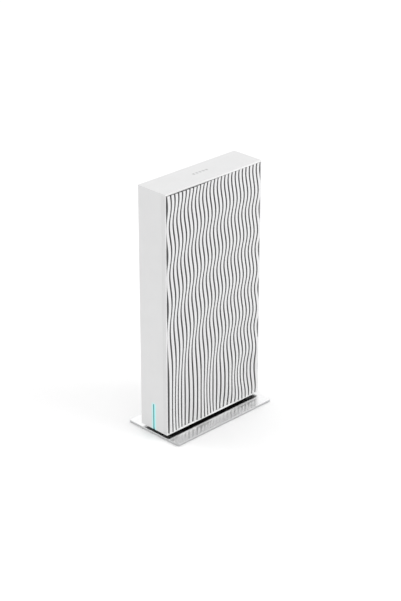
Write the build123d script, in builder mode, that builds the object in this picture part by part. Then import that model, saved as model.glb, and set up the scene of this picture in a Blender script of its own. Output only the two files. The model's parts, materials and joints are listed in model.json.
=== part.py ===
from build123d import *
import os
from math import cos, hypot, pi

# An upright wireless router: a slim white body that stands on a polished metal plate.
# Millimetres. +Z is up, the wave grille faces -Y, the light bar faces -X and the sockets face +X.
# The origin is on the floor, under the middle of the plate.

os.makedirs("parts", exist_ok=True)

# ---- driving dimensions ----

BODY_WIDTH = 122.0
BODY_DEPTH = 35.0
BODY_HEIGHT = 239.7
WALL = 2.0
TOP_WALL = 1.6
CORNER_R = 0.8
EDGE_R = 0.4

PLATE_WIDTH = 124.0
PLATE_DEPTH = 66.6
PLATE_THICK = 2.0
PLATE_CORNER_R = 1.5
FOOT_PROUD = 0.6
BODY_GAP = 2.5

GRILLE_DEPTH = 4.7
GRILLE_WALL = 1.2
GRILLE_SILL = 1.8
RIB_COUNT = 26
RIB_PITCH = 4.59
RIB_WIDTH = 2.8
TIE_BAR = 1.2

# The ribs' front edges follow one set of round ripples, like rings on water.
RIPPLE_LENGTH = 39.6
RIPPLE_HEIGHT = 1.37
RIPPLE_PROUD = 0.55
RIPPLE_TROUGH_R = 4.4
RIPPLE_X = 43.0
RIPPLE_ABOVE_SILL = 29.95

TRAY_THICK = 0.6
TRAY_LIP = 0.4
TRAY_BACK_Y = 15.0
TRAY_HOLE_Y = 6.8
PLINTH_WIDTH = 100.0
PLINTH_DEPTH = 13.0
PLINTH_Y = -1.5

LIGHT_HEIGHT = 26.4
LIGHT_WIDTH = 1.2
LIGHT_DEPTH = 3.4

BOARD_FRONT_Y = 8.0
BOARD_THICK = 1.6

JACK_LENGTH = 20.6
JACK_WIDTH = 16.0
JACK_HEIGHT = 13.5
SHEET_METAL = 0.25
SOCKET_FACE_INSET = 0.4

FIT = 0.1
CLEAR = 0.3

# ---- places worked out from them ----

PLATE_TOP = FOOT_PROUD + PLATE_THICK
BODY_Z0 = PLATE_TOP + BODY_GAP
BODY_Z1 = BODY_Z0 + BODY_HEIGHT
SIDE_X = BODY_WIDTH / 2
INNER_X = SIDE_X - WALL
FRONT_Y = -BODY_DEPTH / 2
BACK_Y = BODY_DEPTH / 2
INNER_BACK_Y = BACK_Y - WALL
LID_Z = BODY_Z1 - TOP_WALL
SEAM_Y = FRONT_Y + GRILLE_DEPTH
GRILLE_BACK_Y = SEAM_Y - 0.05
TRAY_TOP_Z = BODY_Z0 + WALL
BOARD_BACK_Y = BOARD_FRONT_Y + BOARD_THICK
PORT_FACE_X = SIDE_X - SOCKET_FACE_INSET
JACK_X0 = PORT_FACE_X - JACK_LENGTH
JACK_Y0 = BOARD_FRONT_Y - JACK_HEIGHT
RIPPLE_Z = BODY_Z0 + RIPPLE_ABOVE_SILL
OVER = 1.0


def block(x, y, z, mode=Mode.ADD):
    """A box between three pairs of coordinates, in the current part."""
    with Locations(((x[0] + x[1]) / 2, (y[0] + y[1]) / 2, (z[0] + z[1]) / 2)):
        Box(x[1] - x[0], y[1] - y[0], z[1] - z[0], mode=mode)


def mid(value, half):
    """The pair of coordinates that lie half a width each side of a value."""
    return (value - half, value + half)


def wave_front(x, z):
    """Where the rippled front of the grille lies along Y, at a place on its face."""
    ring = hypot(x - RIPPLE_X, z - RIPPLE_Z) - RIPPLE_TROUGH_R
    return FRONT_Y - RIPPLE_PROUD + RIPPLE_HEIGHT * cos(2 * pi * ring / RIPPLE_LENGTH)


def tray_rim(inset, height, mode=Mode.ADD):
    """The tray's thin rim, flush with the casing's bottom edge, less an inset all round."""
    block(mid(0.0, SIDE_X - inset), (FRONT_Y + inset, TRAY_BACK_Y - inset), (BODY_Z0, BODY_Z0 + height), mode)


# ---- sockets and buttons along the port side, from the bottom up ----

DC_Z = 32.0
DC_Y = 2.4
POWER_Z = 49.0
USB_Z = 66.0
LAN_Z = {"lan_jack_3": 87.0, "lan_jack_2": 105.5, "lan_jack_1": 124.0}
WAN_Z = 145.5
JACK_Z = {**LAN_Z, "wan_jack": WAN_Z}
PANEL_Y = (-7.5, 10.5)
PANEL_Z = (20.0, 190.0)
PANEL_BACK_X = SIDE_X - WALL
PANEL_FLANGE = 1.2
USB_HALF = 6.6
USB_Y = (BOARD_FRONT_Y - 5.8, BOARD_FRONT_Y)
DC_HALF = 4.7
DC_HOLE_R = 3.0

# name: Y, Z, cap radius, cap's outer face, travel, plunger radius
BUTTONS = {
    "power": (2.0, POWER_Z, 3.7, SIDE_X + 0.6, 2.0, 1.4),
    "wps": (2.0, 165.0, 2.6, SIDE_X + 0.2, 0.8, 0.9),
    "reset": (2.0, 178.0, 1.4, PORT_FACE_X - 0.6, 0.5, 0.8),
}
BUTTON_FLANGE_X = PANEL_BACK_X - PANEL_FLANGE - 0.4
BUTTON_FLANGE = 1.0
STEM_X = 52.0
SWITCH_X = (42.0, 49.9)

# ---- board, chips and screws ----

BOARD_X = (-52.0, 57.0)
BOARD_Z = (16.0, 222.0)
BOARD_SCREWS = [(x, z) for x in (-46.0, 27.0) for z in (22.0, 90.0, 218.0)]
SINK_X = (-40.0, 24.0)
SINK_Z = (98.0, 212.0)
SINK_BASE_Y = (3.6, 6.0)
FIN_TIP_Y = -9.0
FIN_PITCH = 6.4
FIN_THICK = 1.0
SINK_SCREWS = [(x, z) for x in (-27.2, 11.2) for z in (108.0, 202.0)]
CHIP_Y = (6.6, BOARD_FRONT_Y)
STAND_SCREWS = [(x, y) for x in (-40.0, 40.0) for y in (-5.5, 1.4)]
TRAY_SCREWS = [(-55.5, -8.8), (55.5, -8.8)]
FOOT_PLACES = [(x, y) for x in (-52.0, 52.0) for y in (-24.0, 24.0)]
TIE_Z = [BODY_Z0 + 20.0 + 33.0 * step for step in range(7)]
HOOK_Z = TIE_Z[1::2]

# ---- casing ----

with BuildPart() as housing:
    with BuildSketch(Plane.XY.offset(BODY_Z0)):
        RectangleRounded(BODY_WIDTH, BODY_DEPTH, CORNER_R)
    extrude(amount=BODY_HEIGHT)
    fillet(housing.faces().sort_by(Axis.Z)[-1].edges(), EDGE_R)
    block((-INNER_X, INNER_X), (FRONT_Y - OVER, INNER_BACK_Y), (TRAY_TOP_Z, LID_Z), Mode.SUBTRACT)
    block((-INNER_X, INNER_X), (FRONT_Y - OVER, TRAY_HOLE_Y), (BODY_Z0 - OVER, TRAY_TOP_Z + OVER),
          Mode.SUBTRACT)
    block((-SIDE_X - OVER, SIDE_X + OVER), (FRONT_Y - OVER, SEAM_Y), (BODY_Z0 - OVER, LID_Z),
          Mode.SUBTRACT)
    # posts for the main board
    with BuildSketch(Plane.XZ.offset(-BOARD_BACK_Y)):
        with Locations(*BOARD_SCREWS):
            Circle(3.0)
    extrude(amount=-(INNER_BACK_Y + EDGE_R - BOARD_BACK_Y))
    with BuildSketch(Plane.XZ.offset(-BOARD_BACK_Y)):
        with Locations(*BOARD_SCREWS):
            Circle(1.2)
    extrude(amount=-5.0, mode=Mode.SUBTRACT)
    # blocks that take the tray's screws
    for x, y in TRAY_SCREWS:
        side = 1 if x > 0 else -1
        block(sorted((side * 51.5, side * (INNER_X + EDGE_R))), mid(y, 3.0), (TRAY_TOP_Z, TRAY_TOP_Z + 8.0))
    with BuildSketch(Plane.XY.offset(TRAY_TOP_Z)):
        with Locations(*TRAY_SCREWS):
            Circle(1.2)
    extrude(amount=6.5, mode=Mode.SUBTRACT)
    # pockets for the grille's hooks
    for z in HOOK_Z:
        for side in (-1, 1):
            block(sorted((side * (INNER_X - OVER), side * (INNER_X + 0.9))), (-10.6, -8.4), mid(z, 4.4),
                  Mode.SUBTRACT)
    # rebate that the tray's rim lies in
    tray_rim(TRAY_LIP, TRAY_THICK + 0.05, Mode.SUBTRACT)
    # slit for the light bar, open at the bottom edge, and rails for its board
    block((-SIDE_X - OVER, -INNER_X + OVER), mid(0.0, LIGHT_WIDTH / 2 + 0.05),
          (BODY_Z0 - OVER, BODY_Z0 + LIGHT_HEIGHT + 0.05), Mode.SUBTRACT)
    for y in (-4.6, 4.6):
        block((-INNER_X - EDGE_R, -55.6), mid(y, 0.6), (BODY_Z0 + 6.0, BODY_Z0 + LIGHT_HEIGHT + 4.0))
    # port opening
    block((INNER_X - OVER, SIDE_X + OVER), PANEL_Y, PANEL_Z, Mode.SUBTRACT)
    # straight vents low and high on the back
    for vent_z in (BODY_Z0 + 34.0, BODY_Z1 - 34.0):
        with BuildSketch(Plane.XZ.offset(-INNER_BACK_Y + OVER)):
            with Locations((0, vent_z)):
                with GridLocations(RIB_PITCH, 1, 20, 1):
                    SlotOverall(26.0, 1.8, rotation=90)
        extrude(amount=-(WALL + 2 * OVER), mode=Mode.SUBTRACT)
housing.part.label = "housing"
export_step(housing.part, "parts/housing.step")

with BuildPart() as front_grille:
    with BuildSketch(Plane.XY.offset(BODY_Z0)):
        RectangleRounded(BODY_WIDTH, BODY_DEPTH, CORNER_R)
    extrude(amount=LID_Z - BODY_Z0)
    block((-SIDE_X - OVER, SIDE_X + OVER), (GRILLE_BACK_Y, BACK_Y + OVER), (BODY_Z0 - OVER, LID_Z + OVER),
          Mode.SUBTRACT)
    block(mid(0.0, SIDE_X - GRILLE_WALL), (FRONT_Y - OVER, GRILLE_BACK_Y + OVER),
          (BODY_Z0 + GRILLE_SILL, LID_Z + OVER), Mode.SUBTRACT)
    tray_rim(TRAY_LIP, TRAY_THICK + 0.05, Mode.SUBTRACT)
    # cross bars behind the ribs, with hooks that snap into the housing's sides
    for z in TIE_Z:
        block(mid(0.0, SIDE_X - GRILLE_WALL / 2), (GRILLE_BACK_Y - TIE_BAR, GRILLE_BACK_Y), mid(z, 2.0))
    for z in HOOK_Z:
        for side in (-1, 1):
            arm = sorted((side * (INNER_X - 1.4), side * (INNER_X - 0.2)))
            tooth = sorted((side * (INNER_X - 0.4), side * (INNER_X + 0.6)))
            block(arm, (GRILLE_BACK_Y - TIE_BAR, -8.8), mid(z, 4.0))
            block(tooth, (-10.2, -8.8), mid(z, 4.0))
    # ribs, each cut to the ripple along its own middle line
    rib_z = [BODY_Z0 + GRILLE_SILL - EDGE_R + step * (LID_Z - BODY_Z0 - GRILLE_SILL + EDGE_R) / 26
             for step in range(27)]
    for rib in range(RIB_COUNT):
        x = (rib - (RIB_COUNT - 1) / 2) * RIB_PITCH
        with BuildSketch(Plane.YZ.offset(x - RIB_WIDTH / 2)):
            with BuildLine():
                front = Spline(*[(wave_front(x, z), z) for z in rib_z])
                Polyline(front @ 1, (GRILLE_BACK_Y, rib_z[-1]), (GRILLE_BACK_Y, rib_z[0]), front @ 0)
            make_face()
        extrude(amount=RIB_WIDTH)
front_grille.part.label = "front_grille"
export_step(front_grille.part, "parts/front_grille.step")

with BuildPart() as dust_mesh:
    block(mid(0.0, INNER_X - 1.8), (SEAM_Y, SEAM_Y + 0.4), (BODY_Z0 + 3.0, LID_Z - 1.4))
dust_mesh.part.label = "dust_mesh"
export_step(dust_mesh.part, "parts/dust_mesh.step")

with BuildPart() as bottom_tray:
    tray_rim(TRAY_LIP + FIT, TRAY_THICK)
    block(mid(0.0, INNER_X - FIT), (SEAM_Y + FIT, TRAY_HOLE_Y - FIT), (BODY_Z0, TRAY_TOP_Z))
    with BuildSketch(Plane.XY.offset(TRAY_TOP_Z)):
        with Locations(*STAND_SCREWS):
            Circle(3.0)
    extrude(amount=5.0)
    block((-INNER_X - OVER, -SIDE_X + LIGHT_DEPTH + FIT), mid(0.0, LIGHT_WIDTH / 2 + FIT),
          (BODY_Z0 + TRAY_THICK, TRAY_TOP_Z + OVER), Mode.SUBTRACT)
    with BuildSketch(Plane.XY.offset(BODY_Z0)):
        with Locations(*STAND_SCREWS):
            Circle(1.5)
    extrude(amount=7.0, mode=Mode.SUBTRACT)
    with BuildSketch(Plane.XY.offset(BODY_Z0)):
        with Locations(*TRAY_SCREWS):
            Circle(1.5)
    extrude(amount=TRAY_TOP_Z - BODY_Z0, mode=Mode.SUBTRACT)
    with BuildSketch(Plane.XY.offset(BODY_Z0)):
        with Locations(*TRAY_SCREWS):
            Circle(2.7)
    extrude(amount=1.3, mode=Mode.SUBTRACT)
bottom_tray.part.label = "bottom_tray"
export_step(bottom_tray.part, "parts/bottom_tray.step")

with BuildPart() as tray_screws:
    with BuildSketch(Plane.XY.offset(BODY_Z0 + 0.1)):
        with Locations(*TRAY_SCREWS):
            Circle(2.5)
    extrude(amount=1.2)
    with BuildSketch(Plane.XY.offset(BODY_Z0 + 1.3)):
        with Locations(*TRAY_SCREWS):
            Circle(1.15)
    extrude(amount=6.9)
    with BuildSketch(Plane.XY.offset(BODY_Z0 + 0.1)):
        with Locations(*TRAY_SCREWS):
            Rectangle(3.0, 0.6)
            Rectangle(0.6, 3.0)
    extrude(amount=0.7, mode=Mode.SUBTRACT)
tray_screws.part.label = "tray_screws"
export_step(tray_screws.part, "parts/tray_screws.step")

# ---- stand ----

with BuildPart() as plinth:
    with BuildSketch(Plane.XY.offset(PLATE_TOP)):
        with Locations((0, PLINTH_Y)):
            RectangleRounded(PLINTH_WIDTH, PLINTH_DEPTH, 4.0)
        with Locations(*STAND_SCREWS):
            Circle(1.7, mode=Mode.SUBTRACT)
    extrude(amount=BODY_GAP)
plinth.part.label = "plinth"
export_step(plinth.part, "parts/plinth.step")

FOOT_LONG = 14.0
FOOT_WIDE = 7.0
FOOT_SEAT = 0.5

with BuildPart() as base_plate:
    with BuildSketch(Plane.XY.offset(FOOT_PROUD)):
        RectangleRounded(PLATE_WIDTH, PLATE_DEPTH, PLATE_CORNER_R)
    extrude(amount=PLATE_THICK)
    chamfer(base_plate.faces().sort_by(Axis.Z)[-1].edges(), 0.25)
    with BuildSketch(Plane.XY.offset(FOOT_PROUD)):
        with Locations(*FOOT_PLACES):
            SlotOverall(FOOT_LONG + 0.2, FOOT_WIDE + 0.2)
    extrude(amount=FOOT_SEAT, mode=Mode.SUBTRACT)
    with BuildSketch(Plane.XY.offset(FOOT_PROUD)):
        with Locations(*STAND_SCREWS):
            Circle(1.7)
    extrude(amount=PLATE_THICK, mode=Mode.SUBTRACT)
    for x, y in STAND_SCREWS:
        with Locations((x, y, FOOT_PROUD + 0.75)):
            Cone(3.2, 1.7, 1.5, mode=Mode.SUBTRACT)
base_plate.part.label = "base_plate"
export_step(base_plate.part, "parts/base_plate.step")

with BuildPart() as rubber_feet:
    with BuildSketch(Plane.XY):
        with Locations(*FOOT_PLACES):
            SlotOverall(FOOT_LONG, FOOT_WIDE)
    extrude(amount=FOOT_PROUD + FOOT_SEAT)
rubber_feet.part.label = "rubber_feet"
export_step(rubber_feet.part, "parts/rubber_feet.step")

with BuildPart() as stand_screws:
    for x, y in STAND_SCREWS:
        with Locations((x, y, FOOT_PROUD + 0.7)):
            Cone(2.95, 1.4, 1.35)
    with BuildSketch(Plane.XY.offset(FOOT_PROUD + 1.2)):
        with Locations(*STAND_SCREWS):
            Circle(1.4)
    extrude(amount=8.0)
    with BuildSketch(Plane.XY.offset(FOOT_PROUD)):
        with Locations(*STAND_SCREWS):
            Rectangle(3.2, 0.7)
            Rectangle(0.7, 3.2)
    extrude(amount=0.7, mode=Mode.SUBTRACT)
stand_screws.part.label = "stand_screws"
export_step(stand_screws.part, "parts/stand_screws.step")

# ---- light bar ----

with BuildPart() as light_guide:
    block((-SIDE_X, -SIDE_X + LIGHT_DEPTH), mid(0.0, LIGHT_WIDTH / 2),
          (BODY_Z0 + TRAY_THICK + FIT, BODY_Z0 + LIGHT_HEIGHT))
light_guide.part.label = "light_guide"
export_step(light_guide.part, "parts/light_guide.step")

LED_X = -SIDE_X + LIGHT_DEPTH
LED_Z = [BODY_Z0 + 8.0 + 5.0 * step for step in range(4)]

with BuildPart() as led_chips:
    for z in LED_Z:
        block((LED_X + 0.05, LED_X + 0.8), mid(0.0, 0.8), mid(z, 1.5))
led_chips.part.label = "led_chips"
export_step(led_chips.part, "parts/led_chips.step")

with BuildPart() as led_board:
    block((LED_X + 0.8, LED_X + 1.8), mid(0.0, 3.9), (BODY_Z0 + 5.0, BODY_Z0 + LIGHT_HEIGHT + 3.0))
led_board.part.label = "led_board"
export_step(led_board.part, "parts/led_board.step")

CABLE_HALF = 0.25

with BuildPart() as led_cable:
    with BuildSketch(Plane.XY.offset(BODY_Z0 + 14.0)):
        with BuildLine():
            FilletPolyline((LED_X + 1.8 + CABLE_HALF, 0), (LED_X + 8.0, 0),
                           (LED_X + 8.0, BOARD_FRONT_Y - CABLE_HALF), radius=3.5)
            offset(amount=CABLE_HALF, side=Side.BOTH)
        make_face()
    extrude(amount=5.0)
led_cable.part.label = "led_cable"
export_step(led_cable.part, "parts/led_cable.step")

# ---- main board and what is on it ----

with BuildPart() as main_board:
    with BuildSketch(Plane.XZ.offset(-BOARD_BACK_Y)):
        with Locations(((BOARD_X[0] + BOARD_X[1]) / 2, (BOARD_Z[0] + BOARD_Z[1]) / 2)):
            RectangleRounded(BOARD_X[1] - BOARD_X[0], BOARD_Z[1] - BOARD_Z[0], 2.0)
        with Locations(*BOARD_SCREWS, *SINK_SCREWS):
            Circle(1.5, mode=Mode.SUBTRACT)
    extrude(amount=BOARD_THICK)
main_board.part.label = "main_board"
export_step(main_board.part, "parts/main_board.step")

with BuildPart() as board_screws:
    with BuildSketch(Plane.XZ.offset(-BOARD_FRONT_Y)):
        with Locations(*BOARD_SCREWS):
            Circle(2.5)
    extrude(amount=1.6)
    with BuildSketch(Plane.XZ.offset(-BOARD_FRONT_Y)):
        with Locations(*BOARD_SCREWS):
            Circle(1.15)
    extrude(amount=-6.0)
    with BuildSketch(Plane.XZ.offset(-BOARD_FRONT_Y + 1.6)):
        with Locations(*BOARD_SCREWS):
            Rectangle(3.0, 0.6)
            Rectangle(0.6, 3.0)
    extrude(amount=-0.8, mode=Mode.SUBTRACT)
board_screws.part.label = "board_screws"
export_step(board_screws.part, "parts/board_screws.step")

CHIPS = {
    "processor": ((-18.0, 4.0), (150.0, 172.0)),
    "memory_chip": ((-18.0, -4.0), (178.0, 188.0)),
    "radio_chip_1": ((-34.0, -22.0), (128.0, 140.0)),
    "radio_chip_2": ((6.0, 18.0), (128.0, 140.0)),
    "switch_chip": ((-15.0, 1.0), (104.0, 120.0)),
}
for name, (chip_x, chip_z) in CHIPS.items():
    with BuildPart() as chip:
        block(chip_x, CHIP_Y, chip_z)
        chamfer(chip.faces().sort_by(Axis.Y)[0].edges(), 0.2)
    chip.part.label = name
    export_step(chip.part, f"parts/{name}.step")

with BuildPart() as thermal_pads:
    for chip_x, chip_z in CHIPS.values():
        block((chip_x[0] + 0.5, chip_x[1] - 0.5), (SINK_BASE_Y[1], CHIP_Y[0]), (chip_z[0] + 0.5, chip_z[1] - 0.5))
thermal_pads.part.label = "thermal_pads"
export_step(thermal_pads.part, "parts/thermal_pads.step")

with BuildPart() as heatsink:
    with BuildSketch(Plane.XY.offset(SINK_Z[0])):
        with Locations(((SINK_X[0] + SINK_X[1]) / 2, (SINK_BASE_Y[0] + SINK_BASE_Y[1]) / 2)):
            Rectangle(SINK_X[1] - SINK_X[0], SINK_BASE_Y[1] - SINK_BASE_Y[0])
        with Locations(((SINK_X[0] + SINK_X[1]) / 2, (FIN_TIP_Y + SINK_BASE_Y[0] + EDGE_R) / 2)):
            with GridLocations(FIN_PITCH, 1, 10, 1):
                Rectangle(FIN_THICK, SINK_BASE_Y[0] + EDGE_R - FIN_TIP_Y)
    extrude(amount=SINK_Z[1] - SINK_Z[0])
    with BuildSketch(Plane.XZ.offset(-SINK_BASE_Y[1] - OVER)):
        with Locations(*SINK_SCREWS):
            Circle(1.5)
    extrude(amount=SINK_BASE_Y[1] - SINK_BASE_Y[0] + 2 * OVER, mode=Mode.SUBTRACT)
heatsink.part.label = "heatsink"
export_step(heatsink.part, "parts/heatsink.step")

with BuildPart() as heatsink_screws:
    with BuildSketch(Plane.XZ.offset(-SINK_BASE_Y[0])):
        with Locations(*SINK_SCREWS):
            Circle(2.4)
    extrude(amount=1.5)
    with BuildSketch(Plane.XZ.offset(-SINK_BASE_Y[0])):
        with Locations(*SINK_SCREWS):
            Circle(1.3)
    extrude(amount=-(BOARD_BACK_Y - SINK_BASE_Y[0] + 1.0))
    with BuildSketch(Plane.XZ.offset(-SINK_BASE_Y[0] + 1.5)):
        with Locations(*SINK_SCREWS):
            Rectangle(2.8, 0.6)
            Rectangle(0.6, 2.8)
    extrude(amount=-0.7, mode=Mode.SUBTRACT)
heatsink_screws.part.label = "heatsink_screws"
export_step(heatsink_screws.part, "parts/heatsink_screws.step")

SHIELD_CANS = {
    "shield_can_1": ((-38.0, -10.0), (32.0, 80.0)),
    "shield_can_2": ((-4.0, 20.0), (56.0, 84.0)),
}
for name, (can_x, can_z) in SHIELD_CANS.items():
    with BuildPart() as can:
        block(can_x, (BOARD_FRONT_Y - 2.6, BOARD_FRONT_Y), can_z)
        fillet(can.edges().filter_by(Axis.Y), 1.0)
        fillet(can.faces().sort_by(Axis.Y)[0].edges(), 0.4)
        offset(amount=-SHEET_METAL, openings=can.faces().sort_by(Axis.Y)[-1])
    can.part.label = name
    export_step(can.part, f"parts/{name}.step")

with BuildPart() as lan_transformers:
    for z in JACK_Z.values():
        block((30.0, 38.0), (BOARD_FRONT_Y - 5.6, BOARD_FRONT_Y), mid(z, 7.4))
lan_transformers.part.label = "lan_transformers"
export_step(lan_transformers.part, "parts/lan_transformers.step")

CAPACITORS = [(39.0, 24.0), (39.0, 33.0), (31.0, 36.0)]
with BuildPart() as capacitors:
    with BuildSketch(Plane.XZ.offset(-BOARD_FRONT_Y)):
        with Locations(*CAPACITORS):
            Circle(3.15)
    extrude(amount=8.0)
    fillet(capacitors.faces().filter_by(Axis.Y).group_by(Axis.Y)[0].edges(), 0.5)
capacitors.part.label = "capacitors"
export_step(capacitors.part, "parts/capacitors.step")

with BuildPart() as inductors:
    for x in (2.0, 12.0):
        block(mid(x, 3.6), (BOARD_FRONT_Y - 4.0, BOARD_FRONT_Y), mid(32.0, 3.6))
    fillet(inductors.edges().filter_by(Axis.Y), 1.0)
inductors.part.label = "inductors"
export_step(inductors.part, "parts/inductors.step")

# ---- sockets ----

SOCKET_X = (PORT_FACE_X - 14.6, PORT_FACE_X)
SOCKET_Y = (-3.2, 3.6)
LATCH_Y = (3.6, 5.6)
CONTACT_PITCH = 1.02

for name, z in JACK_Z.items():
    with BuildPart() as jack:
        block((JACK_X0 + SHEET_METAL, PORT_FACE_X - 0.2), (JACK_Y0 + SHEET_METAL, BOARD_FRONT_Y - SHEET_METAL),
              mid(z, JACK_WIDTH / 2 - SHEET_METAL))
        block((SOCKET_X[0], SOCKET_X[1] + OVER), SOCKET_Y, mid(z, 5.9), Mode.SUBTRACT)
        block((SOCKET_X[0] + 4.0, SOCKET_X[1] + OVER), (LATCH_Y[0] - OVER, LATCH_Y[1]), mid(z, 3.1),
              Mode.SUBTRACT)
    jack.part.label = name
    export_step(jack.part, f"parts/{name}.step")

with BuildPart() as jack_shields:
    for z in JACK_Z.values():
        block((JACK_X0, PORT_FACE_X), (JACK_Y0, BOARD_FRONT_Y), mid(z, JACK_WIDTH / 2))
        block((JACK_X0 + SHEET_METAL, PORT_FACE_X + OVER),
              (JACK_Y0 + SHEET_METAL, BOARD_FRONT_Y - SHEET_METAL), mid(z, JACK_WIDTH / 2 - SHEET_METAL),
              Mode.SUBTRACT)
jack_shields.part.label = "jack_shields"
export_step(jack_shields.part, "parts/jack_shields.step")

with BuildPart() as jack_contacts:
    for z in JACK_Z.values():
        with BuildSketch(Plane.XY.offset(z - 0.2)):
            with BuildLine():
                Polyline((SOCKET_X[1] - 2.0, SOCKET_Y[0]), (SOCKET_X[0], SOCKET_Y[0]),
                         (SOCKET_X[0], SOCKET_Y[0] + 0.4), (SOCKET_X[0] + 5.0, SOCKET_Y[0] + 0.7),
                         (SOCKET_X[1] - 2.0, SOCKET_Y[0] + 0.3), close=True)
            make_face()
        wire = extrude(amount=0.4, mode=Mode.PRIVATE)
        for pin in range(8):
            add(Pos(0, 0, (pin - 3.5) * CONTACT_PITCH) * wire)
jack_contacts.part.label = "jack_contacts"
export_step(jack_contacts.part, "parts/jack_contacts.step")

with BuildPart() as usb_socket:
    block((PORT_FACE_X - 14.0, PORT_FACE_X + 0.2), USB_Y, mid(USB_Z, USB_HALF))
    fillet(usb_socket.edges().filter_by(Axis.X), 0.6)
    block((PORT_FACE_X - 13.7, PORT_FACE_X + OVER), (USB_Y[0] + 0.3, USB_Y[1] - 0.3), mid(USB_Z, USB_HALF - 0.3),
          Mode.SUBTRACT)
usb_socket.part.label = "usb_socket"
export_step(usb_socket.part, "parts/usb_socket.step")

with BuildPart() as usb_tongue:
    block((PORT_FACE_X - 13.7, PORT_FACE_X - 12.5), (USB_Y[0] + 0.3, USB_Y[1] - 0.3), mid(USB_Z, USB_HALF - 0.3))
    block((PORT_FACE_X - 12.5, PORT_FACE_X - 1.0), (USB_Y[1] - 2.6, USB_Y[1] - 0.8), mid(USB_Z, 5.6))
usb_tongue.part.label = "usb_tongue"
export_step(usb_tongue.part, "parts/usb_tongue.step")

with BuildPart() as dc_jack:
    block((PORT_FACE_X - 14.0, PORT_FACE_X - 0.2), (DC_Y - DC_HALF, BOARD_FRONT_Y), mid(DC_Z, DC_HALF))
    with BuildSketch(Plane.YZ.offset(PORT_FACE_X - 10.0)):
        with Locations((DC_Y, DC_Z)):
            Circle(DC_HOLE_R)
    extrude(amount=11.0, mode=Mode.SUBTRACT)
dc_jack.part.label = "dc_jack"
export_step(dc_jack.part, "parts/dc_jack.step")

with BuildPart() as dc_pin:
    with BuildSketch(Plane.YZ.offset(PORT_FACE_X - 10.0)):
        with Locations((DC_Y, DC_Z)):
            Circle(1.05)
    extrude(amount=8.6)
    fillet(dc_pin.faces().sort_by(Axis.X)[-1].edges(), 0.5)
dc_pin.part.label = "dc_pin"
export_step(dc_pin.part, "parts/dc_pin.step")

with BuildPart() as port_panel:
    block((PANEL_BACK_X, PORT_FACE_X), (PANEL_Y[0] + FIT, PANEL_Y[1] - FIT), (PANEL_Z[0] + FIT, PANEL_Z[1] - FIT))
    block((PANEL_BACK_X - PANEL_FLANGE, PANEL_BACK_X), (PANEL_Y[0] - 1.0, PANEL_Y[1] + 1.0),
          (PANEL_Z[0] - 1.0, PANEL_Z[1] + 1.0))
    through = (PANEL_BACK_X - PANEL_FLANGE - OVER, PORT_FACE_X + OVER)
    for z in JACK_Z.values():
        block(through, (JACK_Y0 - FIT, BOARD_FRONT_Y + FIT), mid(z, JACK_WIDTH / 2 + FIT), Mode.SUBTRACT)
    block(through, (USB_Y[0] - FIT, USB_Y[1] + FIT), mid(USB_Z, USB_HALF + FIT), Mode.SUBTRACT)
    block(through, (DC_Y - DC_HALF - FIT, BOARD_FRONT_Y + FIT), mid(DC_Z, DC_HALF + FIT), Mode.SUBTRACT)
    for y, z, cap_r, face_x, travel, plunger_r in BUTTONS.values():
        with BuildSketch(Plane.YZ.offset(through[0])):
            with Locations((y, z)):
                Circle(cap_r + CLEAR)
        extrude(amount=through[1] - through[0], mode=Mode.SUBTRACT)
port_panel.part.label = "port_panel"
export_step(port_panel.part, "parts/port_panel.step")

# ---- buttons, each with the plunger that it pushes into its switch ----

for name, (y, z, cap_r, face_x, travel, plunger_r) in BUTTONS.items():
    with BuildPart() as button:
        with BuildSketch(Plane.YZ.offset(BUTTON_FLANGE_X)):
            with Locations((y, z)):
                Circle(cap_r)
        extrude(amount=face_x - BUTTON_FLANGE_X)
        fillet(button.faces().sort_by(Axis.X)[-1].edges(), 0.35)
        with BuildSketch(Plane.YZ.offset(BUTTON_FLANGE_X - BUTTON_FLANGE)):
            with Locations((y, z)):
                Circle(cap_r + 1.1)
        extrude(amount=BUTTON_FLANGE)
        with BuildSketch(Plane.YZ.offset(STEM_X)):
            with Locations((y, z)):
                Circle(plunger_r + 0.4)
        extrude(amount=BUTTON_FLANGE_X - BUTTON_FLANGE - STEM_X)
    button.part.label = f"{name}_button"
    export_step(button.part, f"parts/{name}_button.step")

    with BuildPart() as plunger:
        with BuildSketch(Plane.YZ.offset(STEM_X - 5.0)):
            with Locations((y, z)):
                Circle(plunger_r)
        extrude(amount=5.0)
    plunger.part.label = f"{name}_plunger"
    export_step(plunger.part, f"parts/{name}_plunger.step")

    switch_half = plunger_r + 2.4
    with BuildPart() as switch:
        block(SWITCH_X, (y - switch_half, BOARD_FRONT_Y), mid(z, switch_half))
        with BuildSketch(Plane.YZ.offset(SWITCH_X[0] + 2.0)):
            with Locations((y, z)):
                Circle(plunger_r + FIT)
        extrude(amount=SWITCH_X[1] - SWITCH_X[0], mode=Mode.SUBTRACT)
    switch.part.label = f"{name}_switch"
    export_step(switch.part, f"parts/{name}_switch.step")

# ---- antennas and their coaxial leads ----

ANTENNA_THICK = 0.8
TOP_ANTENNAS = {"antenna_top_left": (-50.0, -14.0), "antenna_top_right": (14.0, 50.0)}
for name, antenna_x in TOP_ANTENNAS.items():
    with BuildPart() as antenna:
        block(antenna_x, (-6.0, 4.0), (LID_Z - ANTENNA_THICK, LID_Z))
    antenna.part.label = name
    export_step(antenna.part, f"parts/{name}.step")

SIDE_ANTENNAS = {"antenna_side_low": (96.0, 134.0), "antenna_side_high": (156.0, 194.0)}
for name, antenna_z in SIDE_ANTENNAS.items():
    with BuildPart() as antenna:
        block((-INNER_X, -INNER_X + ANTENNA_THICK), (-5.0, 5.0), antenna_z)
    antenna.part.label = name
    export_step(antenna.part, f"parts/{name}.step")

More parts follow.
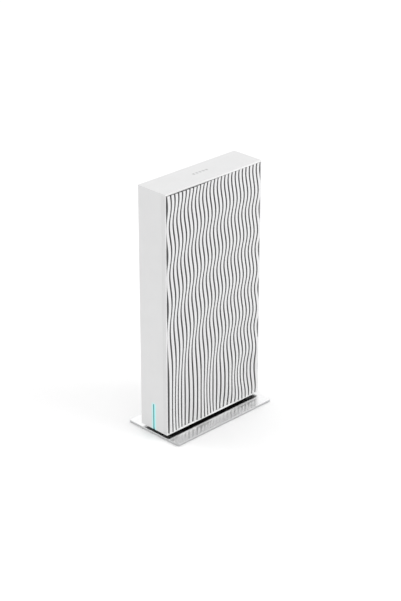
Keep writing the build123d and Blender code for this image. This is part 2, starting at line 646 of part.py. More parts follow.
LEAD_R = 0.6
PLUG = 1.3
PLUG_Y = (BOARD_FRONT_Y - 1.6, BOARD_FRONT_Y)
TOP_PLUG_Z = BOARD_Z[1] - 4.0
SIDE_PLUG_X = BOARD_X[0] + 2.5
plug_y = (PLUG_Y[0] + PLUG_Y[1]) / 2
top_leads = [sum(ends) / 2 for ends in TOP_ANTENNAS.values()]
side_leads = [sum(ends) / 2 for ends in SIDE_ANTENNAS.values()]

with BuildPart() as antenna_plugs:
    for x in top_leads:
        block(mid(x, PLUG), PLUG_Y, mid(TOP_PLUG_Z, PLUG))
    for z in side_leads:
        block(mid(SIDE_PLUG_X, PLUG), PLUG_Y, mid(z - 12.0, PLUG))
antenna_plugs.part.label = "antenna_plugs"
export_step(antenna_plugs.part, "parts/antenna_plugs.step")

lead_routes = [
    [(x, 0.0, LID_Z - ANTENNA_THICK), (x, 0.0, LID_Z - 9.0), (x, plug_y, TOP_PLUG_Z + 8.0),
     (x, plug_y, TOP_PLUG_Z + PLUG)]
    for x in top_leads
] + [
    [(-INNER_X + ANTENNA_THICK, 0.0, z), (-INNER_X + 5.5, 0.0, z), (SIDE_PLUG_X, plug_y, z - 4.0),
     (SIDE_PLUG_X, plug_y, z - 12.0 + PLUG)]
    for z in side_leads
]
with BuildPart() as antenna_leads:
    for route in lead_routes:
        with BuildLine() as line:
            FilletPolyline(*route, radius=2.6)
        with BuildSketch(Plane(line.line @ 0, z_dir=line.line % 0)):
            Circle(LEAD_R)
        sweep(path=line.line)
antenna_leads.part.label = "antenna_leads"
export_step(antenna_leads.part, "parts/antenna_leads.step")
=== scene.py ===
import json
from math import cos, hypot, pi, radians, sin

import bmesh
import bpy
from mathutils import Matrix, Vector


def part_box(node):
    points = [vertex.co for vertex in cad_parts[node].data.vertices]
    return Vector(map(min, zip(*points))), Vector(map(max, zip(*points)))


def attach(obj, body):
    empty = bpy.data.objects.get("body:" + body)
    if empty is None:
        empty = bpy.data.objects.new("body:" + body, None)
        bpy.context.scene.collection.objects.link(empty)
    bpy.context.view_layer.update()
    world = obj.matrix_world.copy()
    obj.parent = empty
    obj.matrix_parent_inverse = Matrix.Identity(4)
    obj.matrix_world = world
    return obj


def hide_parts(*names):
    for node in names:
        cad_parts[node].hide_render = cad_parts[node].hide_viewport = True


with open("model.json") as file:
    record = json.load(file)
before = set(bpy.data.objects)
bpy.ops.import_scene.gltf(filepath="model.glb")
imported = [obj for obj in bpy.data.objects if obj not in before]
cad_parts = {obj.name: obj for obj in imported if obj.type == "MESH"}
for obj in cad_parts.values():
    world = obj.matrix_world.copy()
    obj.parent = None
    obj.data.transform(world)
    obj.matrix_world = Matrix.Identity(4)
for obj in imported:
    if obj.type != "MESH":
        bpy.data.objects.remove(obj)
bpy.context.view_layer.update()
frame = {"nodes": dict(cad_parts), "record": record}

MM = 0.001
NODES = frame["nodes"]

# ---- places read from the frame ----

SHELL_LO, SHELL_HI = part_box("housing")
GUIDE_LO, GUIDE_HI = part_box("light_guide")
LID_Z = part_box("front_grille")[1].z
NEAR = 0.1 * MM

# ---- camera ----

CAMERA_AZIMUTH = radians(-44.83)
CAMERA_ELEVATION = radians(25.34)
CAMERA_DISTANCE = 1.633
CAMERA_LENS = 105.58
CAMERA_AIM = Vector((-0.00012, 0.00012, 0.11747))


def make_camera():
    data = bpy.data.cameras.new("camera")
    data.lens = CAMERA_LENS
    data.sensor_width = 36.0
    camera = bpy.data.objects.new("camera", data)
    bpy.context.scene.collection.objects.link(camera)
    back = Vector((sin(CAMERA_AZIMUTH) * cos(CAMERA_ELEVATION),
                   -cos(CAMERA_AZIMUTH) * cos(CAMERA_ELEVATION),
                   sin(CAMERA_ELEVATION)))
    camera.location = CAMERA_AIM + back * CAMERA_DISTANCE
    camera.rotation_mode = "QUATERNION"
    camera.rotation_quaternion = (-back).to_track_quat("-Z", "Y")
    bpy.context.scene.camera = camera


# ---- studio ----

WORLD_STRENGTH = 0.87
FLOOR_SIZE = 12.0
FLOOR_WHITE = (0.975, 0.975, 0.975)


def area_light(name, place, aim, size, power):
    data = bpy.data.lights.new(name, "AREA")
    data.shape = "DISK"
    data.size = size
    data.energy = power
    light = bpy.data.objects.new(name, data)
    light.location = place
    light.rotation_mode = "QUATERNION"
    light.rotation_quaternion = (Vector(aim) - Vector(place)).to_track_quat("-Z", "Y")
    bpy.context.scene.collection.objects.link(light)


def make_studio():
    world = bpy.data.worlds.new("studio")
    world.use_nodes = True
    world.node_tree.nodes["Background"].inputs["Color"].default_value = (1.0, 1.0, 1.0, 1.0)
    world.node_tree.nodes["Background"].inputs["Strength"].default_value = WORLD_STRENGTH
    bpy.context.scene.world = world
    bpy.context.scene.view_settings.view_transform = "Standard"
    area_light("key_light", (0.95, -1.6, 1.05), (0.0, 0.0, 0.12), 1.8, 18.6)
    area_light("top_light", (-0.3, 0.2, 2.6), (0.0, 0.0, 0.1), 1.8, 4.0)
    area_light("rear_panel", (2.1, 2.1, 1.4), (0.0, 0.0, 0.0), 2.6, 2.4)
    area_light("back_light", (-0.9, 2.0, 1.5), (0.0, 0.0, 0.12), 1.4, 11.0)

    mesh = bpy.data.meshes.new("floor")
    half = FLOOR_SIZE / 2
    corners = [(-half, -half, 0), (half, -half, 0), (half, half, 0), (-half, half, 0)]
    mesh.from_pydata(corners, [], [(0, 1, 2, 3)])
    floor = bpy.data.objects.new("floor", mesh)
    bpy.context.scene.collection.objects.link(floor)
    mesh.materials.append(floor_paint())


# ---- material building blocks ----


class Paint:
    """A node material under construction, whose textures follow the object's own coordinates."""

    def __init__(self, name, colour, roughness, metallic=0.0, specular=0.5):
        self.material = bpy.data.materials.new(name)
        self.material.use_nodes = True
        self.tree = self.material.node_tree
        self.shader = self.tree.nodes["Principled BSDF"]
        self.shader.inputs["Base Color"].default_value = (*colour, 1.0)
        self.shader.inputs["Roughness"].default_value = roughness
        self.shader.inputs["Metallic"].default_value = metallic
        self.shader.inputs["Specular IOR Level"].default_value = specular
        self.colour = colour
        self.place = self.tree.nodes.new("ShaderNodeTexCoord").outputs["Object"]

    def node(self, kind, **settings):
        made = self.tree.nodes.new(kind)
        for key, value in settings.items():
            setattr(made, key, value)
        return made

    def wire(self, source, target):
        self.tree.links.new(source, target)

    def stretched(self, scale):
        mapping = self.node("ShaderNodeMapping")
        mapping.inputs["Scale"].default_value = scale
        self.wire(self.place, mapping.inputs["Vector"])
        return mapping.outputs["Vector"]

    def noise(self, size, detail=2.0, stretch=None):
        """Cloudy noise whose blobs are about size metres across."""
        made = self.node("ShaderNodeTexNoise")
        made.inputs["Scale"].default_value = 1.0 / size
        made.inputs["Detail"].default_value = detail
        self.wire(self.stretched(stretch) if stretch else self.place, made.inputs["Vector"])
        return made.outputs["Fac"]

    def remap(self, value, low, high, new_low, new_high, smooth=False):
        made = self.node("ShaderNodeMapRange", interpolation_type="SMOOTHSTEP" if smooth else "LINEAR")
        for slot, number in zip(("From Min", "From Max", "To Min", "To Max"), (low, high, new_low, new_high)):
            made.inputs[slot].default_value = number
        self.wire(value, made.inputs["Value"])
        return made.outputs["Result"]

    def sum_up(self, operation, first, second=None):
        made = self.node("ShaderNodeMath", operation=operation)
        for slot, value in zip(made.inputs, (first, second)):
            if isinstance(value, (int, float)):
                slot.default_value = value
            elif value is not None:
                self.wire(value, slot)
        return made.outputs["Value"]

    def axis(self, letter):
        split = self.node("ShaderNodeSeparateXYZ")
        self.wire(self.place, split.inputs["Vector"])
        return split.outputs[letter]

    def blend(self, factor, first, second):
        made = self.node("ShaderNodeMix", data_type="RGBA")
        self.wire(factor, made.inputs[0])
        for slot, value in ((made.inputs[6], first), (made.inputs[7], second)):
            if isinstance(value, tuple):
                slot.default_value = (*value, 1.0)
            else:
                self.wire(value, slot)
        return made.outputs[2]

    def bump(self, height, depth, strength=1.0):
        made = self.node("ShaderNodeBump")
        made.inputs["Distance"].default_value = depth
        made.inputs["Strength"].default_value = strength
        self.wire(height, made.inputs["Height"])
        self.wire(made.outputs["Normal"], self.shader.inputs["Normal"])

    def tone(self, factor, spread):
        """Varies the base colour up and down by a share of itself."""
        dark = tuple(c * (1 - spread) for c in self.colour)
        light = tuple(min(1.0, c * (1 + spread)) for c in self.colour)
        mixed = self.blend(self.remap(factor, 0.3, 0.7, 0.0, 1.0), dark, light)
        self.wire(mixed, self.shader.inputs["Base Color"])
        return mixed

    def vary_roughness(self, factor, low, high):
        self.wire(self.remap(factor, 0.3, 0.7, low, high), self.shader.inputs["Roughness"])


def moulded(name, colour, roughness, grain=0.25 * MM, depth=0.006 * MM, spread=0.012):
    """Moulded plastic with a fine eroded texture and a trace of unevenness in tone and gloss."""
    paint = Paint(name, colour, roughness)
    paint.bump(paint.noise(grain, 3.0), depth)
    paint.tone(paint.noise(18 * MM, 2.0), spread)
    paint.vary_roughness(paint.noise(6 * MM, 3.0), roughness * 0.88, roughness * 1.12)
    return paint


def floor_paint():
    paint = Paint("floor_paint", FLOOR_WHITE, 0.55, specular=0.2)
    paint.tone(paint.noise(0.6), 0.004)
    return paint.material


# ---- the white casing ----

WHITE = (0.695, 0.695, 0.697)
GRILLE_WHITE = (0.66, 0.66, 0.662)
# painted highlight on the ribs' edges and the sill's front edge
EDGE_PAINTED_HIGHLIGHT = (0.87, 0.87, 0.872)
# painted shade inside the grille's slots and on the parts set back in them
SLOT_PAINTED_SHADE = (0.185, 0.185, 0.187)
# bounds of the painted glow beside the slit and past its upper end, and how thick a skin of the side face is
# painted with it
GLOW_Y = 0.1 * MM
GLOW_NEAR = 0.5 * MM
GLOW_REACH = 4.2 * MM
GLOW_BELOW_END = 1.0 * MM
GLOW_ABOVE_END = 2.5 * MM
GLOW_SKIN = 1.0 * MM
# painted light: the LED's glow as a cyan tint, emission colour and strength on the white housing
GLOW_PAINTED_TINT = (0.47, 0.70, 0.70)
GLOW_PAINTED_TEAL = (0.0, 0.92, 0.95)
GLOW_STRENGTH = 0.19
PRINT_GREY = (0.46, 0.46, 0.462)
PRINT_LENGTH = 20.0 * MM
PRINT_WIDTH = 3.0 * MM
PRINT_PITCH = 4.0 * MM
PRINT_Y = 0.8 * MM
PRINT_SKIN = 0.5 * MM
# painted shade: a dark teal line on the housing along the slit's edge
RIM_PAINTED_SHADE = (0.05, 0.24, 0.25)
RIM_Y = 0.8 * MM
RIM_HALF = 0.3 * MM


def lid_print(paint):
    """A plain printed row of short bars in the middle of the lid."""
    long_enough = paint.sum_up("LESS_THAN", paint.sum_up("ABSOLUTE", paint.axis("X")), PRINT_LENGTH / 2)
    aside = paint.sum_up("ABSOLUTE", paint.sum_up("SUBTRACT", paint.axis("Y"), PRINT_Y))
    in_row = paint.sum_up("MULTIPLY", long_enough, paint.sum_up("LESS_THAN", aside, PRINT_WIDTH / 2))
    on_lid = paint.sum_up("GREATER_THAN", paint.axis("Z"), SHELL_HI.z - PRINT_SKIN)
    wave = paint.sum_up("COSINE", paint.sum_up("MULTIPLY", paint.axis("X"), 2 * pi / PRINT_PITCH))
    bars = paint.sum_up("GREATER_THAN", wave, -0.3)
    return paint.sum_up("MULTIPLY", paint.sum_up("MULTIPLY", in_row, on_lid), bars)


def shell_paint():
    """White plastic with the light bar's glow painted beside its slit, as a tint and emission, and a dark teal
    line of painted shade behind the slit.
    """
    paint = moulded("shell_white", WHITE, 0.42)
    # painted glow, fading away from the slit and above its upper end
    aside = paint.sum_up("ABSOLUTE", paint.sum_up("SUBTRACT", paint.axis("Y"), GLOW_Y))
    beside = paint.remap(aside, GLOW_NEAR, GLOW_REACH, 1.0, 0.0, smooth=True)
    fade = (GUIDE_HI.z - GLOW_BELOW_END, GUIDE_HI.z + GLOW_ABOVE_END)
    below = paint.remap(paint.axis("Z"), *fade, 1.0, 0.0, smooth=True)
    outside = paint.sum_up("LESS_THAN", paint.axis("X"), SHELL_LO.x + GLOW_SKIN)
    here = paint.sum_up("MULTIPLY", below, outside)
    glow = paint.sum_up("MULTIPLY", beside, here)
    # painted shade along the slit's edge
    off_rim = paint.sum_up("ABSOLUTE", paint.sum_up("SUBTRACT", paint.axis("Y"), RIM_Y))
    at_rim = paint.remap(off_rim, RIM_HALF * 0.6, RIM_HALF * 1.4, 1.0, 0.0, smooth=True)
    rim = paint.sum_up("MULTIPLY", at_rim, paint.sum_up("LESS_THAN", paint.axis("Z"), GUIDE_HI.z))
    rim = paint.sum_up("MULTIPLY", rim, outside)
    plain = paint.shader.inputs["Base Color"].links[0].from_socket
    printed = paint.blend(lid_print(paint), plain, PRINT_GREY)
    with_painted_glow = paint.blend(glow, printed, GLOW_PAINTED_TINT)
    paint.wire(paint.blend(rim, with_painted_glow, RIM_PAINTED_SHADE), paint.shader.inputs["Base Color"])
    paint.shader.inputs["Emission Color"].default_value = (*GLOW_PAINTED_TEAL, 1.0)
    lit = paint.sum_up("MULTIPLY", glow, paint.sum_up("SUBTRACT", 1.0, rim))
    paint.wire(paint.sum_up("MULTIPLY", lit, GLOW_STRENGTH), paint.shader.inputs["Emission Strength"])
    return paint.material


def grille_paint():
    """White plastic with a painted highlight on the ribs' edges and painted shade inside the slots, as the
    mesh's attributes say.
    """
    paint = moulded("grille_white", GRILLE_WHITE, 0.34, grain=0.4 * MM, depth=0.003 * MM)
    depth = paint.node("ShaderNodeAttribute", attribute_name="depth").outputs["Fac"]
    plain = paint.shader.inputs["Base Color"].links[0].from_socket
    edge = paint.node("ShaderNodeAttribute", attribute_name="edge").outputs["Fac"]
    front = paint.blend(edge, plain, EDGE_PAINTED_HIGHLIGHT)
    paint.wire(paint.blend(depth, front, SLOT_PAINTED_SHADE), paint.shader.inputs["Base Color"])
    return paint.material


THREAD_PITCH = 0.8 * MM
THREAD_DARK = (0.006, 0.006, 0.007)
THREAD_LIGHT = (0.05, 0.05, 0.052)


def mesh_paint():
    """A dark woven dust mesh: two crossed sets of fine threads."""
    paint = Paint("mesh_dark", (0.03, 0.03, 0.032), 0.7)
    across = paint.sum_up("SINE", paint.sum_up("MULTIPLY", paint.axis("X"), 2 * pi / THREAD_PITCH))
    along = paint.sum_up("SINE", paint.sum_up("MULTIPLY", paint.axis("Z"), 2 * pi / THREAD_PITCH))
    weave = paint.sum_up("MAXIMUM", across, along)
    shade = paint.remap(weave, -1.0, 1.0, 0.0, 1.0)
    paint.wire(paint.blend(shade, THREAD_DARK, THREAD_LIGHT), paint.shader.inputs["Base Color"])
    paint.bump(weave, 0.15 * MM)
    return paint.material


def black_plastic_paint():
    paint = moulded("plastic_black", (0.008, 0.008, 0.0085), 0.85, spread=0.1)
    paint.shader.inputs["Specular IOR Level"].default_value = 0.1
    return paint.material


# ---- metal and rubber of the stand ----

PLATE_BRIGHT = (0.985, 0.988, 0.99)
PLATE_ROUGHNESS = (0.18, 0.2)
PLATE_TANGENT = (1.0, 0.0, 0.5)
# painted shade: the plate's side faces are darker than its top
SIDE_PAINTED_SHADE_DARK = (0.49, 0.495, 0.50)
SIDE_PAINTED_SHADE_LIGHT = (0.61, 0.615, 0.62)
SIDE_ROUGHNESS = 0.35


def plate_paint():
    """Metal brushed along Y, so that reflections blur along X, with its sides given a darker, streaky colour
    as painted shade.
    """
    paint = Paint("plate_polished", PLATE_BRIGHT, 0.2, metallic=1.0)
    normal = paint.node("ShaderNodeNewGeometry").outputs["Normal"]
    split = paint.node("ShaderNodeSeparateXYZ")
    paint.wire(normal, split.inputs["Vector"])
    upward = paint.remap(paint.sum_up("ABSOLUTE", split.outputs["Z"]), 0.8, 0.95, 0.0, 1.0)
    side_streaks = paint.noise(0.5 * MM, 2.0, stretch=(0.05, 0.05, 1.0))
    side = paint.blend(side_streaks, SIDE_PAINTED_SHADE_DARK, SIDE_PAINTED_SHADE_LIGHT)
    paint.wire(paint.blend(upward, side, PLATE_BRIGHT), paint.shader.inputs["Base Color"])
    smear = paint.remap(paint.noise(9 * MM, 3.0), 0.3, 0.7, *PLATE_ROUGHNESS)
    rough = paint.node("ShaderNodeMix", data_type="FLOAT")
    paint.wire(upward, rough.inputs[0])
    rough.inputs[2].default_value = SIDE_ROUGHNESS
    paint.wire(smear, rough.inputs[3])
    paint.wire(rough.outputs[0], paint.shader.inputs["Roughness"])
    paint.shader.inputs["Anisotropic"].default_value = 1.0
    across = paint.node("ShaderNodeCombineXYZ")
    for letter, part in zip("XYZ", PLATE_TANGENT):
        across.inputs[letter].default_value = part
    paint.wire(across.outputs["Vector"], paint.shader.inputs["Tangent"])
    return paint.material


def rubber_paint():
    paint = moulded("rubber_grey", (0.03, 0.03, 0.03), 0.75, grain=0.4 * MM, depth=0.02 * MM, spread=0.12)
    return paint.material


def brushed_metal(name, colour, roughness=0.32, stretch=(1.0, 1.0, 0.06)):
    paint = Paint(name, colour, roughness, metallic=1.0)
    lines = paint.noise(0.25 * MM, 3.0, stretch=stretch)
    paint.bump(lines, 0.01 * MM, 0.5)
    paint.vary_roughness(lines, roughness * 0.8, roughness * 1.25)
    paint.tone(paint.noise(4 * MM), 0.05)
    return paint.material


# ---- light bar ----

LIGHT_FADE = 2.6 * MM
LIGHT_END = 0.3
LIGHT_EDGE = (-0.30 * MM, -0.10 * MM)
LIGHT_BRIGHT = (0.25, 0.80, 0.82)
# painted shade: the guide's dim core, streaked between these two
CORE_PAINTED_SHADE_DARK = (0.0, 0.02, 0.022)
CORE_PAINTED_SHADE_LIGHT = (0.01, 0.06, 0.062)


def light_paint():
    """A teal light guide: its core is dimmed as painted shade, its lower end is dim and its edge on the
    grille's side glows.
    """
    paint = Paint("light_teal", (0.02, 0.16, 0.17), 0.25)
    lit = paint.remap(paint.axis("Y"), *LIGHT_EDGE, 1.0, 0.0, smooth=True)
    streak = paint.noise(3 * MM, 2.0, stretch=(1.0, 1.0, 0.3))
    shaded_core = paint.blend(streak, CORE_PAINTED_SHADE_DARK, CORE_PAINTED_SHADE_LIGHT)
    paint.wire(paint.blend(lit, shaded_core, LIGHT_BRIGHT), paint.shader.inputs["Emission Color"])
    end = paint.remap(paint.axis("Z"), GUIDE_LO.z, GUIDE_LO.z + LIGHT_FADE, LIGHT_END, 1.0, smooth=True)
    paint.wire(end, paint.shader.inputs["Emission Strength"])
    return paint.material


# ---- pieces inside ----

BOARD_MASK = (0.008, 0.11, 0.045)
BOARD_TRACK = (0.03, 0.22, 0.09)
TRACK_CELL = 3.0 * MM

def board_paint():
    """Green solder mask over a net of fine tracks and pads."""
    paint = Paint("board_green", (0.01, 0.12, 0.05), 0.3)
    cells = paint.node("ShaderNodeTexVoronoi", distance="MANHATTAN", feature="DISTANCE_TO_EDGE")
    cells.inputs["Scale"].default_value = 1.0 / TRACK_CELL
    paint.wire(paint.place, cells.inputs["Vector"])
    track = paint.remap(cells.outputs["Distance"], 0.04, 0.07, 1.0, 0.0)
    paint.wire(paint.blend(track, BOARD_MASK, BOARD_TRACK), paint.shader.inputs["Base Color"])
    paint.bump(track, 0.03 * MM)
    return paint.material


def simple_materials():
    """Slot name to material, for every slot of the record."""
    return {
        "shell_white": shell_paint(),
        "grille_white": grille_paint(),
        "mesh_dark": mesh_paint(),
        "plastic_black": black_plastic_paint(),
        "plate_polished": plate_paint(),
        "rubber_grey": rubber_paint(),
        "screw_steel": brushed_metal("screw_steel", (0.55, 0.56, 0.57), 0.3),
        "light_teal": light_paint(),
        "led_white": moulded("led_white", (0.85, 0.83, 0.6), 0.4).material,
        "board_green": board_paint(),
        "cable_white": moulded("cable_white", (0.78, 0.78, 0.75), 0.45).material,
        "chip_black": moulded("chip_black", (0.02, 0.02, 0.021), 0.5, spread=0.15).material,
        "pad_grey": moulded("pad_grey", (0.35, 0.38, 0.42), 0.8).material,
        "sink_aluminium": brushed_metal("sink_aluminium", (0.80, 0.81, 0.82), 0.36),
        "can_tin": brushed_metal("can_tin", (0.72, 0.72, 0.70), 0.28),
        "capacitor_sleeve": brushed_metal("capacitor_sleeve", (0.75, 0.76, 0.77), 0.3),
        "ferrite": moulded("ferrite", (0.06, 0.06, 0.065), 0.6, spread=0.15).material,
        "socket_black": moulded("socket_black", (0.018, 0.018, 0.019), 0.42, spread=0.12).material,
        "socket_shield": brushed_metal("socket_shield", (0.74, 0.74, 0.72), 0.25),
        "contact_gold": brushed_metal("contact_gold", (0.83, 0.60, 0.22), 0.25),
        "usb_blue": moulded("usb_blue", (0.015, 0.09, 0.42), 0.4, spread=0.08).material,
        "panel_grey": moulded("panel_grey", (0.52, 0.53, 0.54), 0.5, spread=0.03).material,
        "button_white": moulded("button_white", (0.78, 0.78, 0.785), 0.36).material,
        "button_black": moulded("button_black", (0.03, 0.03, 0.032), 0.4, spread=0.1).material,
        "plunger_white": moulded("plunger_white", (0.75, 0.75, 0.72), 0.5).material,
        "antenna_board": moulded("antenna_board", (0.02, 0.02, 0.025), 0.35, spread=0.1).material,
        "lead_black": moulded("lead_black", (0.02, 0.02, 0.02), 0.5, spread=0.1).material,
    }


def paint_nodes(materials):
    """Gives every CAD node its slot's material."""
    for row in frame["record"]["subparts"]:
        data = NODES[row["node"]].data
        data.materials.clear()
        data.materials.append(materials[row["material_slot"]])


# ---- mesh helpers ----


def add_piece(name, mesh, material, slot, *nodes):
    """Puts a finished mesh in the scene as a piece that stands for CAD nodes and rides on the casing."""
    piece = bpy.data.objects.new(name, mesh)
    bpy.context.scene.collection.objects.link(piece)
    mesh.materials.append(material)
    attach(piece, "root")
    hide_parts(*nodes)
    return piece


def bevelled(piece, width, segments, limit="ANGLE"):
    modifier = piece.modifiers.new("soft_edges", "BEVEL")
    modifier.width = width
    modifier.segments = segments
    modifier.limit_method = limit
    modifier.angle_limit = radians(40)
    modifier.harden_normals = True


SQUARE = ((0, 0), (0, 1), (1, 1), (1, 0))


def mesh_from(name, verts, faces, smooth=True):
    mesh = bpy.data.meshes.new(name)
    mesh.from_pydata(verts, [], faces)
    made = bmesh.new()
    made.from_mesh(mesh)
    bmesh.ops.recalc_face_normals(made, faces=made.faces)
    made.to_mesh(mesh)
    made.free()
    mesh.shade_smooth() if smooth else mesh.shade_flat()
    return mesh


# ---- wave grille ----

FRONT_Y = SHELL_LO.y
SILL_Z = SHELL_LO.z + 1.8 * MM
BAND_BACK_Y = FRONT_Y + 4.65 * MM
SIDE_WALL = 1.2 * MM
TRAY_LIP = 0.4 * MM
TRAY_REBATE = 0.65 * MM
RIB_COUNT = 26
RIB_PITCH = 4.59 * MM
RIB_WIDTH = 2.8 * MM
RIB_CORNER = 0.35 * MM
OUTER_FLANK = (RIB_COUNT - 1) / 2 * RIB_PITCH + RIB_WIDTH / 2
RIPPLE_LENGTH = 39.6 * MM
RIPPLE_HEIGHT = 1.37 * MM
RIPPLE_PROUD = 0.55 * MM
RIPPLE_TROUGH_R = 4.4 * MM
RIPPLE_X = 43.0 * MM
RIPPLE_Z = SHELL_LO.z + 29.95 * MM
FLANK_DEPTHS = (0.5 * MM, 0.75 * MM, 1.0 * MM)
# painted shade in the slots begins at the first of these depths behind the ribs' fronts and is full at the
# second
SLOT_LIGHT = 0.2 * MM
SLOT_DARK = 1.0 * MM
# share of painted highlight on the sill's front edge
SILL_PAINTED_HIGHLIGHT = 0.45
# painted light bounced up from the plate lightens the slot shade over this height above the sill, down to this
# share of the shade at the sill
SLOT_BOUNCE_LIGHT_HEIGHT = 9.0 * MM
SLOT_LOW_PAINTED_SHADE = 0.65
FRAME_BEVEL = 0.25 * MM
BACK_EDGE_WEIGHT = 0.15
BAR_BEVEL = 0.15 * MM
RIB_TOP_GAP = 0.4 * MM
RIB_STEPS = 120
FRONT_STEPS = 4
CORNER_STEPS = 3
TIE_BAR = 1.2 * MM
TIE_HALF = 2.0 * MM
TIE_COUNT = 7
TIE_FIRST = 20.0 * MM
TIE_STEP = 33.0 * MM


def wave_front(x, z):
    """Where the rippled front lies along Y: round ripples, like rings on water."""
    ring = hypot(x - RIPPLE_X, z - RIPPLE_Z) - RIPPLE_TROUGH_R
    return FRONT_Y - RIPPLE_PROUD + RIPPLE_HEIGHT * cos(2 * pi * ring / RIPPLE_LENGTH)


def rib_outline(middle, z):
    """One rib's outline at a height: up its left side, over the rounded front, and down its right side."""
    left = middle - RIB_WIDTH / 2
    right = middle + RIB_WIDTH / 2
    points = [(left, BAND_BACK_Y)]
    points += [(left, wave_front(left, z) + deep) for deep in reversed(FLANK_DEPTHS)]
    for step in range(CORNER_STEPS + 1):
        turn = pi / 2 * step / CORNER_STEPS
        x = left + RIB_CORNER * (1 - cos(turn))
        points.append((x, wave_front(x, z) + RIB_CORNER * (1 - sin(turn))))
    for step in range(1, FRONT_STEPS):
        x = left + RIB_CORNER + (RIB_WIDTH - 2 * RIB_CORNER) * step / FRONT_STEPS
        points.append((x, wave_front(x, z)))
    for step in range(CORNER_STEPS + 1):
        turn = pi / 2 * step / CORNER_STEPS
        x = right - RIB_CORNER * (1 - sin(turn))
        points.append((x, wave_front(x, z) + RIB_CORNER * (1 - cos(turn))))
    points += [(right, wave_front(right, z) + deep) for deep in FLANK_DEPTHS]
    points.append((right, BAND_BACK_Y))
    return points


def mark_painted_shade_and_highlight(mesh):
    """Stores each point's painted shade, darker deeper in a slot and lighter low in a slot as painted light
    bounced up from the plate, and which points are on a rib's edge, where a highlight is painted.
    """
    painted_shades = mesh.attributes.new("depth", "FLOAT", "POINT")
    edges = mesh.attributes.new("edge", "FLOAT", "POINT")
    for point, depth, edge in zip(mesh.vertices, painted_shades.data, edges.data):
        front = wave_front(point.co.x, point.co.z)
        if point.co.x > OUTER_FLANK - NEAR:
            front = max(front, FRONT_Y)
        deep = point.co.y - front
        # painted bounce light: the slot shade is lighter near the sill
        dark = SLOT_LOW_PAINTED_SHADE + (1.0 - SLOT_LOW_PAINTED_SHADE) * min(1.0, (point.co.z - SILL_Z) / SLOT_BOUNCE_LIGHT_HEIGHT)
        depth.value = dark * min(1.0, max(0.0, (deep - SLOT_LIGHT) / (SLOT_DARK - SLOT_LIGHT)))
        # rib edges get a painted highlight
        aside = abs((point.co.x / RIB_PITCH + RIB_COUNT / 2) % 1.0 - 0.5) * RIB_PITCH
        on_edge = aside > RIB_WIDTH / 2 - RIB_CORNER * 0.9 and deep < RIB_CORNER * 1.05
        edge.value = 1.0 if on_edge else 0.0


def make_ribs(material):
    verts = []
    faces = []
    for rib in range(RIB_COUNT):
        middle = (rib - (RIB_COUNT - 1) / 2) * RIB_PITCH
        start = len(verts)
        for step in range(RIB_STEPS + 1):
            z = SILL_Z + (LID_Z - RIB_TOP_GAP - SILL_Z) * step / RIB_STEPS
            outline = rib_outline(middle, z)
            verts += [(x, y, z) for x, y in outline]
        count = len(outline)
        for step in range(RIB_STEPS):
            row = start + step * count
            faces += [(row + k, row + (k + 1) % count, row + count + (k + 1) % count, row + count + k)
                      for k in range(count)]
        faces.append(tuple(range(start, start + count)))
        faces.append(tuple(range(start + RIB_STEPS * count, start + (RIB_STEPS + 1) * count)))
    mesh = mesh_from("wave_ribs", verts, faces)
    mesh.set_sharp_from_angle(angle=radians(50))
    mark_painted_shade_and_highlight(mesh)
    add_piece("wave_ribs", mesh, material, "grille_white", "front_grille")


def lattice_solid(name, xs, ys, zs, filled):
    """A closed mesh of the cells between rising coordinates whose middles filled(x, y, z) accepts."""
    corners = {}
    faces = []

    def corner(i, j, k):
        return corners.setdefault((i, j, k), len(corners))

    def is_filled(i, j, k):
        inside = 0 <= i < len(xs) - 1 and 0 <= j < len(ys) - 1 and 0 <= k < len(zs) - 1
        return inside and filled((xs[i] + xs[i + 1]) / 2, (ys[j] + ys[j + 1]) / 2, (zs[k] + zs[k + 1]) / 2)

    for i in range(len(xs) - 1):
        for j in range(len(ys) - 1):
            for k in range(len(zs) - 1):
                if not is_filled(i, j, k):
                    continue
                for side in (0, 1):
                    step = 2 * side - 1
                    if not is_filled(i + step, j, k):
                        faces.append([corner(i + side, j + b, k + c) for b, c in SQUARE])
                    if not is_filled(i, j + step, k):
                        faces.append([corner(i + a, j + side, k + c) for a, c in SQUARE])
                    if not is_filled(i, j, k + step):
                        faces.append([corner(i + a, j + b, k + side) for a, b in SQUARE])
    return mesh_from(name, [(xs[i], ys[j], zs[k]) for i, j, k in corners], faces, smooth=False)


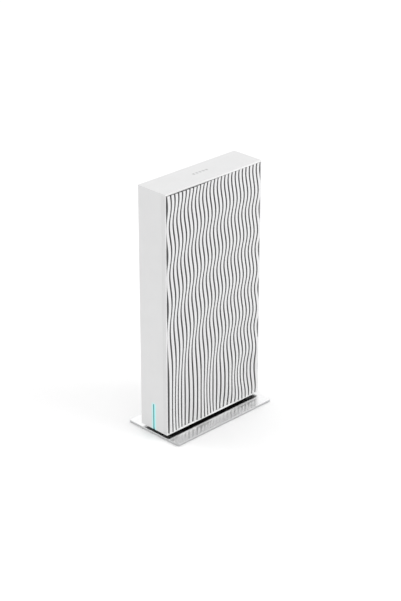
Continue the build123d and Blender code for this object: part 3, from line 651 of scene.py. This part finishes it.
def make_grille_frame(material):
    """The U-shaped frame round the ribs, open under the lid, with a rebate below for the tray's rim."""
    out = SHELL_HI.x
    inner = out - SIDE_WALL
    lip = out - TRAY_LIP
    rebate_z = SHELL_LO.z + TRAY_REBATE

    def filled(x, y, z):
        in_rebate = abs(x) < lip and y > FRONT_Y + TRAY_LIP and z < rebate_z
        return (abs(x) > inner or z < SILL_Z) and not in_rebate

    mesh = lattice_solid("grille_frame", (-out, -lip, -inner, inner, lip, out),
                         (FRONT_Y, FRONT_Y + TRAY_LIP, FRONT_Y + SLOT_DARK, BAND_BACK_Y),
                         (SHELL_LO.z, rebate_z, SILL_Z, LID_Z), filled)
    weights = mesh.attributes.new("bevel_weight_edge", "FLOAT", "EDGE")
    for edge, weight in zip(mesh.edges, weights.data):
        at_front = all(mesh.vertices[corner].co.y < FRONT_Y + NEAR for corner in edge.vertices)
        weight.value = 1.0 if at_front else BACK_EDGE_WEIGHT
    # painted shade on the frame's inner faces set back in the slots
    painted_shades = mesh.attributes.new("depth", "FLOAT", "POINT")
    for point, depth in zip(mesh.vertices, painted_shades.data):
        within = abs(point.co.x) < inner + NEAR and point.co.z > SILL_Z - NEAR
        depth.value = 1.0 if within and point.co.y > FRONT_Y + SLOT_DARK - NEAR else 0.0
    # painted highlight along the sill's front edge
    edges = mesh.attributes.new("edge", "FLOAT", "POINT")
    for point, edge in zip(mesh.vertices, edges.data):
        on_sill = point.co.y < FRONT_Y + NEAR and point.co.z < SILL_Z + NEAR
        edge.value = SILL_PAINTED_HIGHLIGHT if on_sill else 0.0
    piece = add_piece("grille_frame", mesh, material, "grille_white", "front_grille")
    bevelled(piece, FRAME_BEVEL, 3, limit="WEIGHT")


def make_cross_bars(material):
    """Bars behind the ribs that hold them together, down in the slots, painted in full slot shade."""
    half = SHELL_HI.x - SIDE_WALL
    middles = [SHELL_LO.z + TIE_FIRST + bar * TIE_STEP for bar in range(TIE_COUNT)]
    zs = sorted(middle + side * TIE_HALF for middle in middles for side in (-1, 1))
    mesh = lattice_solid("grille_cross_bars", (-half, half), (BAND_BACK_Y - TIE_BAR, BAND_BACK_Y), zs,
                         lambda x, y, z: any(abs(z - middle) < TIE_HALF for middle in middles))
    # painted shade over the whole of the bars
    painted_shades = mesh.attributes.new("depth", "FLOAT", "POINT")
    for depth in painted_shades.data:
        depth.value = 1.0
    piece = add_piece("grille_cross_bars", mesh, material, "grille_white", "front_grille")
    bevelled(piece, BAR_BEVEL, 2)


# ---- build ----

make_camera()
make_studio()
MATERIALS = simple_materials()
paint_nodes(MATERIALS)
make_ribs(MATERIALS["grille_white"])
make_grille_frame(MATERIALS["grille_white"])
make_cross_bars(MATERIALS["grille_white"])
